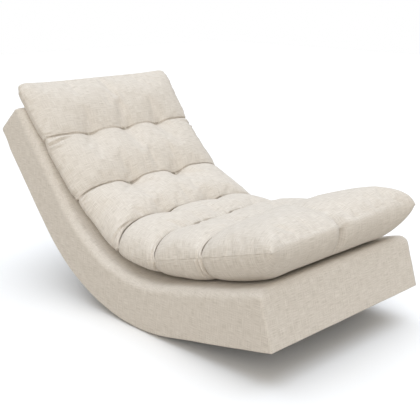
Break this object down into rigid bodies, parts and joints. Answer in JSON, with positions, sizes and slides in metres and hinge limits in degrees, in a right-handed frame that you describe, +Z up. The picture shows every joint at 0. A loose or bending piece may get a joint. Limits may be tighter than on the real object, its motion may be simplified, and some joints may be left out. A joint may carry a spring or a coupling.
{
  "type": "rocking lounge chair",
  "caption": "Armless rocking lounger: a fabric-covered curved base that rolls on its belly, with a tufted mattress that lifts off.",
  "frame": {"origin": "on the floor, at the middle of the box around the chair", "axes": "+Z up, +Y from the seat front to the head end, so the sitter faces -Y and the sitter's right is -X"},
  "size_m": [0.7, 1.3156, 0.7124],
  "materials": {
    "linen": "beige slub linen weave, matte",
    "lining": "black lining cloth",
    "wadding": "white wadding and foam",
    "plywood": "raw birch plywood",
    "softwood": "planed softwood",
    "steel": "black painted steel",
    "rubber": "black rubber",
    "webbing": "grey hook and loop tape",
    "thread": "pale tufting thread"
  },
  "bodies": {
    "base": {"side_frame_right": "plywood", "side_frame_left": "plywood", "front_board": "plywood", "head_board": "plywood", "corner_block_front_right": "softwood", "corner_block_front_left": "softwood", "corner_block_head_right": "softwood", "corner_block_head_left": "softwood", "deck_rail_1": "softwood", "deck_rail_2": "softwood", "deck_rail_3": "softwood", "deck_rail_4": "softwood", "deck_rail_5": "softwood", "belly_rail_1": "softwood", "belly_rail_2": "softwood", "belly_rail_3": "softwood", "deck_board": "plywood", "belly_board": "plywood", "ballast_bar": "steel", "ballast_keeper": "softwood", "ballast_strap_right": "steel", "ballast_strap_left": "steel", "deck_foam": "wadding", "side_pad_right": "wadding", "side_pad_left": "wadding", "front_pad": "wadding", "head_pad": "wadding", "deck_cover": "linen", "side_cover_right": "linen", "side_cover_left": "linen", "front_cover": "linen", "head_cover": "linen", "belly_cover": "lining", "floor_strip_right": "rubber", "floor_strip_left": "rubber", "loop_strip_1": "webbing", "loop_strip_2": "webbing"},
    "mattress": {"hook_strip_1": "webbing", "hook_strip_2": "webbing", "mattress_top_cover": "linen", "mattress_bottom_cover": "linen", "mattress_fill_1": "wadding", "mattress_fill_2": "wadding", "mattress_fill_3": "wadding", "mattress_fill_4": "wadding", "mattress_fill_5": "wadding", "mattress_fill_6": "wadding", "tuft_tie_1_1": "thread", "tuft_tie_1_2": "thread", "tuft_tie_2_1": "thread", "tuft_tie_2_2": "thread", "tuft_tie_2_3": "thread", "tuft_tie_3_1": "thread", "tuft_tie_3_2": "thread", "tuft_tie_4_1": "thread", "tuft_tie_4_2": "thread", "tuft_tie_5_1": "thread", "tuft_tie_5_2": "thread", "tuft_tie_5_3": "thread"}
  },
  "joints": [
    {"name": "mattress_lift", "type": "slide", "parent": "base", "child": "mattress", "axis": [0, -0.3173, 0.9483], "range_m": [0, 0.35]}
  ]
}
